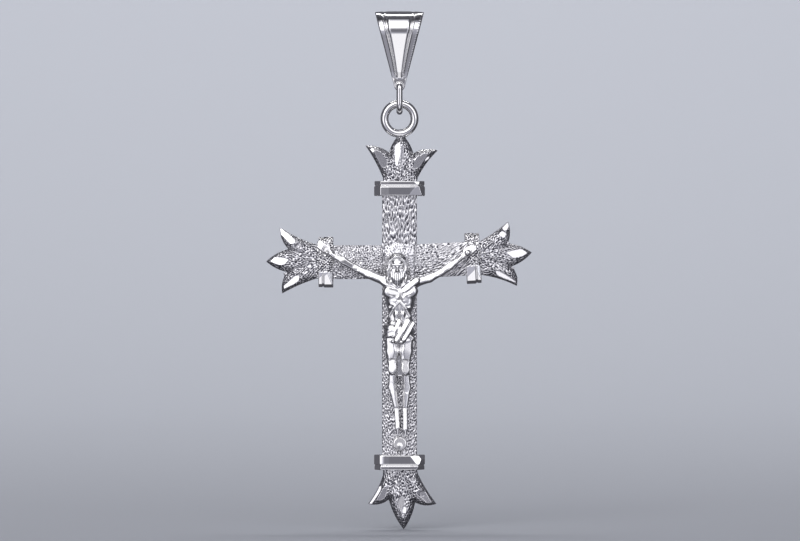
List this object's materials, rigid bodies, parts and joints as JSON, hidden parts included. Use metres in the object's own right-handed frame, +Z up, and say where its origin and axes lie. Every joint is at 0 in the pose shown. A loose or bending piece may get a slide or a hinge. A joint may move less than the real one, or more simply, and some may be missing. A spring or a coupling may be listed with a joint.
{
  "type": "crucifix pendant",
  "caption": "Silver crucifix pendant: textured cross with leaf finials, collars and a riveted figure, hung by a jump ring and link from a tapered bail.",
  "frame": {"origin": "centre line of the bail's bend, where the neck chain lies", "axes": "+Z up as the pendant hangs, figure faces -Y, chain runs along X"},
  "size_m": [0.0383, 0.0073, 0.0748],
  "materials": {
    "polished_silver": "bright polished sterling silver",
    "textured_silver": "reticulated sterling silver, bright ridges over darkened hollows",
    "cut_silver": "sterling silver with diamond-cut mirror facets"
  },
  "bodies": {
    "bail": {"bail": "polished_silver"},
    "link": {"link": "polished_silver"},
    "cross": {"jump_ring": "polished_silver", "post": "textured_silver", "left_arm": "textured_silver", "right_arm": "textured_silver", "head_finial": "textured_silver", "foot_finial": "textured_silver", "left_finial": "textured_silver", "right_finial": "textured_silver", "head_collar": "cut_silver", "foot_collar": "cut_silver", "left_collar": "cut_silver", "right_collar": "cut_silver", "nimbus_plate": "textured_silver", "corpus": "polished_silver", "left_nail": "polished_silver", "right_nail": "polished_silver", "corpus_rivet": "polished_silver", "footrest": "polished_silver", "footrest_rivet": "polished_silver"}
  },
  "joints": [
    {"name": "side_swing", "type": "hinge", "parent": "bail", "child": "link", "pos_m": [0, 0, -0.0079], "axis": [0, 1, 0], "range_deg": [-75, 75]},
    {"name": "fore_aft_swing", "type": "hinge", "parent": "link", "child": "cross", "pos_m": [0, 0, -0.01055], "axis": [1, 0, 0], "range_deg": [-135, 135]}
  ]
}
